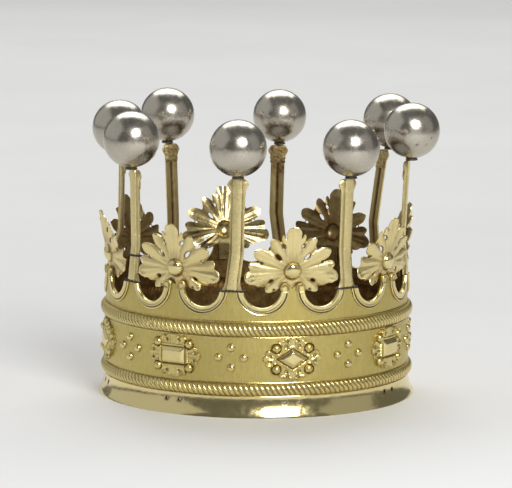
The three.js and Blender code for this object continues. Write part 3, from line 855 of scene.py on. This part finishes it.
def add_jewels(shell):
    """Oblong and lozenge jewels in turn, one under each leaf."""
    for first, drawing in ((1, OBLONG), (2, LOZENGE)):
        loops, points, faces, height, polish, painted_shade_and_tarnish = jewel(drawing)
        back_points, back_faces = filled(loops, JEWEL_BACK_SPACING)
        closed = sheet_faces(faces, len(points), back_faces)
        s, z = np.concatenate([points, back_points]).T
        hidden = np.zeros(len(back_points))
        r = BAND_RADIUS + np.concatenate([height, hidden - JEWEL_SUNK])
        polish, painted_shade_and_tarnish = np.concatenate([[polish, painted_shade_and_tarnish], [hidden, hidden]], 1)
        for n in range(first, REPEATS + 1, 2):
            places = wrap(s, JEWEL_CENTRE + z, r, leaf_azimuth(n))
            shell.add(places, closed, polish, painted_shade_and_tarnish)


def make_circlet():
    shell = Shell()
    add_rim(shell)
    for rope in (LOWER_ROPE, UPPER_ROPE):
        add_rope(shell, rope)
    add_band(shell)
    add_crest(shell)
    add_straps(shell)
    add_jewels(shell)
    add_pellets(shell)
    shell.piece("gilt_circlet", GILT, "circlet")


# Leaves

# Half of a leaf's edge from the tip of its middle lobe to its tab, from the boss's centre
LEAF_EDGE = [
    (0.0, 26.3), (2.6, 25.6), (4.4, 22.8), (4.3, 20.6), (4.5, 19.5), (5.2, 20.6),
    (6.3, 21.7), (7.1, 20.2), (7.0, 18.0), (7.5, 17.6), (9.4, 19.0), (12.3, 19.7),
    (13.6, 18.2), (13.4, 15.4), (13.9, 12.7), (14.6, 12.4), (16.4, 13.0), (19.0, 13.5),
    (22.2, 12.6), (23.0, 10.4), (22.0, 7.6), (19.6, 5.9), (20.2, 5.0), (22.4, 5.4),
    (25.0, 5.2), (26.1, 3.2), (25.2, 0.8), (25.6, 0.3), (27.6, -1.0), (28.6, -3.6),
    (27.8, -6.4), (25.0, -7.9), (22.4, -8.1), (20.6, -9.3), (17.6, -9.4), (16.2, -9.0),
    (16.4, -10.6), (15.4, -12.3), (12.8, -12.5), (11.4, -11.9), (9.6, -11.6), (7.4, -10.2),
    (4.6, -8.8), (4.0, -10.5), (4.0, -18.8),
]
LEAF_EYES = [  # centre, half length, half width, and degrees that it is turned
    ((5.7, 14.9), 1.3, 0.75, 60),
    ((8.6, 8.4), 2.3, 1.0, 50),
    ((18.4, 4.9), 0.95, 0.7, 20),
    ((12.9, -5.9), 1.5, 0.85, -35),
    ((10.9, -10.9), 0.5, 0.4, 0),
]
LEAF_FOLDS = [  # degrees from upright, and how far the leaf stands forward there
    (0, 0.1), (6, 1.0), (13, 0.7), (18, 0.7), (23, -0.9), (29, 0.8), (35, 1.15),
    (40, 0.8), (46, -1.0), (53, 0.7), (62, 1.2), (71, 0.8), (77, -0.9), (82, 0.5),
    (86, 0.75), (91, -0.35), (98, 1.0), (105, 1.1), (110, 0.7), (117, -1.0), (123, 0.6),
    (130, 0.9), (138, 0.4), (150, 0.0), (180, 0.0),
]
LEAF_VEINS = [  # ends of fine grooves along the lobes
    ((0, 5.6), (0, 12.5)),
    ((3.4, 5.0), (9.6, 17.4)),
    ((5.6, 3.2), (19.6, 9.4)),
    ((6.0, 0.6), (22.6, 3.0)),
    ((6.0, -1.4), (25.0, -4.4)),
    ((4.6, -4.0), (13.4, -11.4)),
    ((1.6, 6.0), (3.0, 20.5)),
]
# How far the lobes' tips are from the boss's centre, at some degrees from upright
LOBE_TURNS = [0, 30, 64, 97, 130]
LOBE_TIPS = [26, 23, 26, 28.6, 20]


def leaf_loops():
    """A leaf's outline and its pierced eyes."""
    half = np.array(LEAF_EDGE)
    curved = smooth(half[:-TAB_CORNERS], 3, closed=False)
    right = np.concatenate([curved, half[-TAB_CORNERS:]])
    left = (right[::-1] * [-1, 1])[:-1]
    eyes = []
    for (x, y), long, short, degrees in LEAF_EYES:
        eye = circle((0, 0), long, 12, short / long)
        turn = math.radians(degrees)
        spin = np.array([[math.cos(turn), math.sin(turn)], [-math.sin(turn), math.cos(turn)]])
        for side in (1, -1):
            eyes.append((eye @ spin + [x, y]) * [side, 1])
    return [np.concatenate([right, left]), *eyes]


def leaf_surface():
    """A leaf's points, faces, how far each point stands forward, its thickness, its polish, and
    painted shade in its recesses.
    """
    loops = leaf_loops()
    points, faces = filled(loops, LEAF_SPACING)
    x, y = points.T
    reach = np.hypot(x, y)
    turn = np.degrees(np.arctan2(np.abs(x), y))
    on_tab = np.clip((-8.0 - y) / 2.5, 0, 1) * (np.abs(x) < 6.2)

    fold = np.interp(turn, *np.array(LEAF_FOLDS).T)
    body = np.clip((reach - BOSS_RADIUS) / 6, 0, 1)
    outer = np.clip((reach - 10) / 18, 0, 1)
    forward = fold * (0.45 + 0.55 * outer) * body * (1 - on_tab)
    curl_start = 0.86 * np.interp(turn, LOBE_TURNS, LOBE_TIPS)
    curl = np.clip((reach - curl_start) / 4, 0, 1)
    forward += CURL_RISE * curl**1.5 * (1 - on_tab)
    veins = [np.array(vein, float) * (side, 1) for vein in LEAF_VEINS for side in (1, -1)]
    vein = np.max([ridge(points, line, VEIN_WIDTH, 1.0) for line in veins], axis=0)
    forward -= VEIN_DEPTH * vein
    on_boss = reach < BOSS_RADIUS
    dome = BOSS_FOOT + BOSS_RISE * rounded(reach / BOSS_RADIUS) ** 1.1
    forward = np.where(on_boss, dome, forward)
    collar = np.clip(1 - np.abs(reach - BOSS_RADIUS - 0.3) / 0.6, 0, 1)
    forward -= 0.25 * collar * ~on_boss
    near_edge = np.clip(1 - distance(loops, points) / 0.8, 0, 1)
    thickness = LEAF_THICKNESS - EDGE_THINNED * near_edge**2

    # painted shade in the veins near the boss, in the collar round it, in the folds' valleys and
    # round the eyes
    near_boss = np.clip(1.5 - (reach - BOSS_RADIUS) / 5, 0, 1)
    painted_shade_and_tarnish = np.clip(0.3 * vein * near_boss + 0.75 * collar, 0, 1)
    painted_shade_and_tarnish = np.maximum(painted_shade_and_tarnish, 0.6 * np.clip(-fold, 0, 1) ** 1.5 * body)
    painted_shade_and_tarnish = np.maximum(painted_shade_and_tarnish, np.clip(0.9 - distance(loops[1:], points) / 0.8, 0, 1))
    polish = np.clip(0.2 + 0.35 * np.clip(forward, 0, 1), 0, 0.6)
    polish = np.where(on_boss, 0.9, polish)
    return points, faces, forward, thickness, polish, painted_shade_and_tarnish


def make_leaves():
    points, faces, forward, thickness, polish, painted_shade_and_tarnish = leaf_surface()
    closed = sheet_faces(faces, len(points))
    x, y = points.T
    z = LEAF_CENTRE + y
    lean = np.maximum(0, z - CREST_TOP) * LEAF_LEAN
    random = np.random.default_rng(11)
    loose = np.clip((np.hypot(x, y) - 7) / 14, 0, 1) * (y > -9)
    polish = np.concatenate([polish, np.full(len(x), 0.8)])
    for n in range(1, REPEATS + 1):
        phase = random.uniform(0, TURN, 4)
        sway = np.sin(x / 6.1 + phase[0]) * np.sin(y / 5.3 + phase[1])
        sway += 0.6 * np.sin(x / 2.9 + phase[2]) * np.sin(y / 3.3 + phase[3])
        back = LEAF_BACK + lean + forward + LEAF_SWAY * sway * loose
        azimuth = leaf_azimuth(n)
        places = np.concatenate([wrap(x, z, back + thickness, azimuth), wrap(x, z, back, azimuth)])
        # the back: each leaf's own tarnish, with the front's painted shade added
        tarnish = np.clip(LEAF_TARNISH[n - 1] + 0.4 * painted_shade_and_tarnish, 0, 1)
        shell = Shell()
        shell.add(places, closed, polish, np.concatenate([painted_shade_and_tarnish, tarnish]))
        shell.piece(f"gilt_leaf_{n}", LEAF_GILT, f"leaf_{n}", sharp=50)


# Rays and balls


def ray_middles(node, azimuth):
    """A ray's levels in the frame: the height of each, its middle aside, and its back."""
    corners = np.unique(np.round(corners_of(node), 2), axis=0)
    aside, out, _ = turned(corners, azimuth).T
    levels = []
    for height in np.unique(np.round(corners[:, 2], 1)):
        here = np.abs(corners[:, 2] - height) < 0.2
        middle = (aside[here].min() + aside[here].max()) / 2
        levels.append((height, middle, out[here].min()))
    return np.array(levels)


def ray_half_width(rise, below_top):
    """Half of a ray's width, at a height over its foot and under its top."""
    foot = 2.0 * np.clip(1 - rise / 6.5, 0, 1) ** 2
    ear = (RAY_EAR_WIDTH - RAY_WIDTH) / 2 * np.exp(-(((below_top - 3.4) / 2.6) ** 2))
    top = -0.9 * np.clip(1 - below_top / 1.2, 0, 1) ** 2
    return RAY_WIDTH / 2 + foot + ear + top


def add_socket(shell, levels, top, azimuth, stain, random):
    """The rough plate behind a ray's top that holds the ball's pin, with solder round it."""
    z = np.linspace(top - SOCKET_HEIGHT, top - 0.4, SOCKET_ROWS)
    aside, back = (np.interp(z, levels[:, 0], levels[:, k]) for k in (1, 2))
    across = np.linspace(-1, 1, SOCKET_COLUMNS)
    sections = []
    for k, (height, middle, rear) in enumerate(zip(z, aside, back)):
        wide = SOCKET_WIDTH / 2 + random.uniform(-0.3, 0.3)
        to_end = min(1, k / 2, (SOCKET_ROWS - 1 - k) / 1.5)
        lift = 0.35 + 0.55 * to_end + random.uniform(-0.16, 0.16, SOCKET_COLUMNS)
        behind = -lift * np.sqrt(np.clip(1.05 - across**4, 0, 1))
        sections.append(
            [(middle + wide, rear + 0.4, height), (middle - wide, rear + 0.4, height)]
            + [(middle + wide * t, rear + b, height) for t, b in zip(across, behind)]
        )
    places = turned(sections, azimuth)
    marks = np.clip(random.normal(0.2 + 0.55 * stain, 0.2, places.shape[:2]), 0, 0.95)
    shell.add(places, lofted(places.shape[:2], False), 0.3, marks.ravel())


# At each corner of a ray's section, how far painted shade darkens it, along its bevels and in its
# back channel, and how far it belongs to the back
RAY_SHADE = [0, 0, 0, 0.5, 0, 0, 0, 0, 0, 0.5, 0, 0, 0, 0.38, 0.38, 0.8, 1, 0.8, 0.38, 0.38]
RAY_BACK = [0.5, 0, 0, 0, 0, 0, 0, 0, 0, 0, 0, 0, 0.5, 1, 1, 1, 1, 1, 1, 1]


def ray_section(wide, raised):
    """Corners of a ray's section, from its left edge over the front and back behind."""
    left = [
        (-wide, 0.15),
        (-wide, RAY_EDGE - 0.15),
        (-wide + 0.2, RAY_EDGE),
        (-raised - 0.35, RAY_THICKNESS - 0.75),
        (-raised - 0.1, RAY_THICKNESS - 0.15),
        (-raised + 0.3, RAY_THICKNESS),
    ]
    front = left + [(0, RAY_THICKNESS + 0.05)] + [(-x, y) for x, y in left[::-1]]
    right_back = [(wide - 0.2, 0), (1.6, 0), (0.8, 0.2)]
    return front + right_back + [(0, 0.9)] + [(-x, y) for x, y in right_back[::-1]]


def make_rays():
    random = np.random.default_rng(5)
    corner_shade, behind = np.array(RAY_SHADE), np.array(RAY_BACK)
    for n in range(1, REPEATS + 1):
        azimuth = ray_azimuth(n)
        levels = ray_middles(f"ray_{n}", azimuth)
        foot, top = levels[0, 0], levels[-1, 0]
        flared_foot = np.linspace(foot, foot + 7, 9)
        eared_top = np.linspace(top - 9, top, 22)
        z = np.concatenate([flared_foot, np.linspace(foot + 9, top - 10, 24), eared_top])
        aside, back = (np.interp(z, levels[:, 0], levels[:, k]) for k in (1, 2))
        half = ray_half_width(z - foot, top - z)
        band = RAY_BAND / 2 * np.clip(half / (RAY_WIDTH / 2), 1, 1.12)
        sections = []
        for height, middle, rear, wide, raised in zip(z, aside, back, half, band):
            section = ray_section(wide, raised)
            sections.append([(middle + x, rear + y, height) for x, y in section])
        places = turned(sections, azimuth)[:, ::-1]
        stain = np.clip(1.3 - np.abs(top - z - STAIN_DEPTH) / STAIN_LENGTH, 0, 1)
        stain = RAY_STAINS[n - 1] * stain[:, None]
        stained = stain * behind * random.uniform(0.6, 1.1, (len(z), len(behind)))
        # painted shade along the bevels and in the back channel, with the stains behind the top
        marks = np.clip(np.maximum(corner_shade, stained), 0, 1)[:, ::-1]
        polish = np.tile(np.where(behind[::-1] > 0, 0.4, 0.5), len(z))
        shell = Shell()
        shell.add(places, lofted(places.shape[:2], False), polish, marks.ravel())
        add_socket(shell, levels, top, azimuth, RAY_STAINS[n - 1], random)
        shell.piece(f"gilt_ray_{n}", LEAF_GILT, f"ray_{n}", sharp=35)


def make_balls():
    """Hollow silver balls with small dents and dark pits, each with a collar under it, painted
    dark as shadow.
    """
    random = np.random.default_rng(7)
    start = math.asin(NECK_RADIUS / BALL_RADIUS)
    angles = np.linspace(start, math.pi - BALL_CAP, BALL_ROWS)[:, None]
    turn = np.arange(BALL_COLUMNS) * TURN / BALL_COLUMNS
    sine = np.sin(angles)
    ways = np.broadcast_arrays(sine * np.cos(turn), sine * np.sin(turn), -np.cos(angles))
    aim = np.stack(ways, -1)
    for n in range(1, REPEATS + 1):
        low, high = (np.array(corner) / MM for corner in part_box(f"ball_{n}"))
        centre = np.array([*(low + high)[:2] / 2, high[2] - BALL_RADIUS])
        radius = np.full(aim.shape[:2], BALL_RADIUS)
        painted_shade_and_tarnish = np.zeros(aim.shape[:2])
        for _ in range(DENTS):
            spot = random.normal(size=3)
            spot /= np.linalg.norm(spot)
            size = random.uniform(0.03, 0.16)
            off = np.arccos(np.clip(aim @ spot, -1, 1)) / size
            radius -= DENT_DEPTH * np.exp(-(off**2)) * size / 0.1
            painted_shade_and_tarnish = np.maximum(painted_shade_and_tarnish, (size < 0.07) * np.clip(1.1 - off, 0, 1))
        neck = [(r, low[2] + rise, mark) for r, rise, mark in NECK]
        neck_radius, sunk, mark = NECK_TOP
        ball_foot = centre[2] - math.sqrt(BALL_RADIUS**2 - NECK_RADIUS**2)
        neck.append((neck_radius, ball_foot - sunk, mark))
        rings = []
        for r, height, _ in neck:
            across = centre[0] + r * np.cos(turn), centre[1] + r * np.sin(turn)
            rings.append(np.stack([*across, np.full(BALL_COLUMNS, height)], -1))
        places = np.concatenate([np.array(rings), centre + aim * radius[..., None]])
        # painted shadow on the collar under the ball, and the dark pits
        neck_marks = np.repeat([mark for _, _, mark in neck], BALL_COLUMNS)
        marks = np.concatenate([neck_marks, painted_shade_and_tarnish.ravel()])
        shell = Shell()
        shell.add(places, lofted(places.shape[:2], False), 0.9, marks)
        shell.piece(f"silver_ball_{n}", SILVER, f"ball_{n}")


def make_wires():
    """Two twisted strands round each tied ray."""
    for n in range(1, WIRES + 1):
        node = f"binding_wire_{n}"
        corners = corners_of(node)
        middle = corners.mean(0)
        ray = round(math.atan2(middle[0], -middle[1]) / (TURN / REPEATS) + 0.5)
        azimuth = ray_azimuth(ray)
        aside, out, _ = turned(corners, azimuth).T
        left, right = aside.min() + WIRE_INSET, aside.max() - WIRE_INSET
        back, front = out.min() + WIRE_INSET, out.max() - WIRE_INSET
        shoulder, bend = (right - left) * 0.2, back + 1.6
        places = [(left, back + 0.5), (left, bend), (left + shoulder, front)]
        places += [((left + right) / 2, front), (right - shoulder, front), (right, bend)]
        places += [(right, back + 0.5), (right - shoulder, back), (left + shoulder, back)]
        route = smooth(places, 10)
        count = len(route)
        ahead = np.roll(route, -1, 0) - np.roll(route, 1, 0)
        normal = np.stack([ahead[:, 1], -ahead[:, 0]], -1)
        normal /= np.linalg.norm(normal, axis=1)[:, None]
        shell = Shell()
        for strand in range(2):
            phase = np.arange(count) / count * TURN * TWISTS + strand * math.pi
            flat = route + normal * TWIST_RADIUS * np.cos(phase)[:, None]
            centre = np.column_stack([flat, middle[2] + TWIST_RADIUS * np.sin(phase)])
            rings = []
            for k in range(WIRE_SIDES):
                a = k * TURN / WIRE_SIDES
                offset = np.column_stack([normal * math.cos(a), np.full(count, math.sin(a))])
                rings.append(centre + WIRE_RADIUS * offset)
            places = turned(np.stack(rings, 1), azimuth)
            shell.add(places, lofted(places.shape[:2], True))
        shell.piece(f"tied_wire_{n}", WIRE, node, sharp=60)


make_circlet()
make_leaves()
make_rays()
make_balls()
make_wires()


# Floor, light and camera


def make_floor():
    mesh = bpy.data.meshes.new("floor")
    corners = [(x * FLOOR_SIZE, y * FLOOR_SIZE, 0) for x, y in QUARTERS]
    mesh.from_pydata(corners, [], [(0, 1, 2, 3)])
    mesh.materials.append(floor_material())
    floor = bpy.data.objects.new("floor", mesh)
    bpy.context.scene.collection.objects.link(floor)


def direction(azimuth, elevation):
    """The way from the coronet at an azimuth and an elevation."""
    level = math.cos(elevation)
    return level * math.sin(azimuth), -level * math.cos(azimuth), math.sin(elevation)


def soft_light(name, round_from_camera, up, away, size, power, behind):
    """A soft light, placed by its direction from the coronet."""
    data = bpy.data.lights.new(name, "AREA")
    data.shape = "RECTANGLE"
    data.size, data.size_y = size
    data.energy = power
    light = bpy.data.objects.new(name, data)
    azimuth = CAMERA_AZIMUTH + math.radians(round_from_camera)
    x, y, z = direction(azimuth, math.radians(up))
    light.location = (away * x, away * y, away * z + AIM_HEIGHT)
    bpy.context.scene.collection.objects.link(light)
    side, depth = -math.sin(CAMERA_AZIMUTH) * behind, math.cos(CAMERA_AZIMUTH) * behind
    target = Vector((side, depth, AIM_HEIGHT))
    light.rotation_euler = (target - light.location).to_track_quat("-Z", "Y").to_euler()


def make_world():
    world = bpy.data.worlds.new("studio")
    bpy.context.scene.world = world
    world.use_nodes = True
    tree = world.node_tree
    background = tree.nodes["Background"]
    background.inputs["Color"].default_value = (1, 1, 0.985, 1)
    seen = tree.nodes.new("ShaderNodeLightPath").outputs["Is Camera Ray"]
    strength = ranged(tree, seen, 0, 1, AROUND, BACKDROP)
    tree.links.new(strength, background.inputs["Strength"])
    bpy.context.scene.view_settings.view_transform = "Standard"


def make_camera():
    """The camera that the photograph was taken from, fitted to the coronet."""
    right = Vector((math.cos(CAMERA_AZIMUTH), math.sin(CAMERA_AZIMUTH), 0))
    back = Vector(direction(CAMERA_AZIMUTH, CAMERA_ELEVATION))
    up = back.cross(right)
    target = right * CAMERA_AIM[0] + Vector((0, 0, CAMERA_AIM[1]))
    data = bpy.data.cameras.new("camera")
    data.sensor_width = SENSOR
    data.lens = FOCAL_PIXELS / IMAGE_WIDTH * SENSOR
    data.clip_end = 50
    camera = bpy.data.objects.new("camera", data)
    cosine, sine = math.cos(CAMERA_ROLL), math.sin(CAMERA_ROLL)
    x_axis = right * cosine + up * sine
    y_axis = up * cosine - right * sine
    turn = Matrix((x_axis, y_axis, back)).transposed()
    place = Matrix.Translation(target + back * CAMERA_DISTANCE)
    camera.matrix_world = place @ turn.to_4x4()
    bpy.context.scene.collection.objects.link(camera)
    bpy.context.scene.camera = camera


make_floor()
make_world()
for name, settings in LIGHTS.items():
    soft_light(name, *settings)
make_camera()
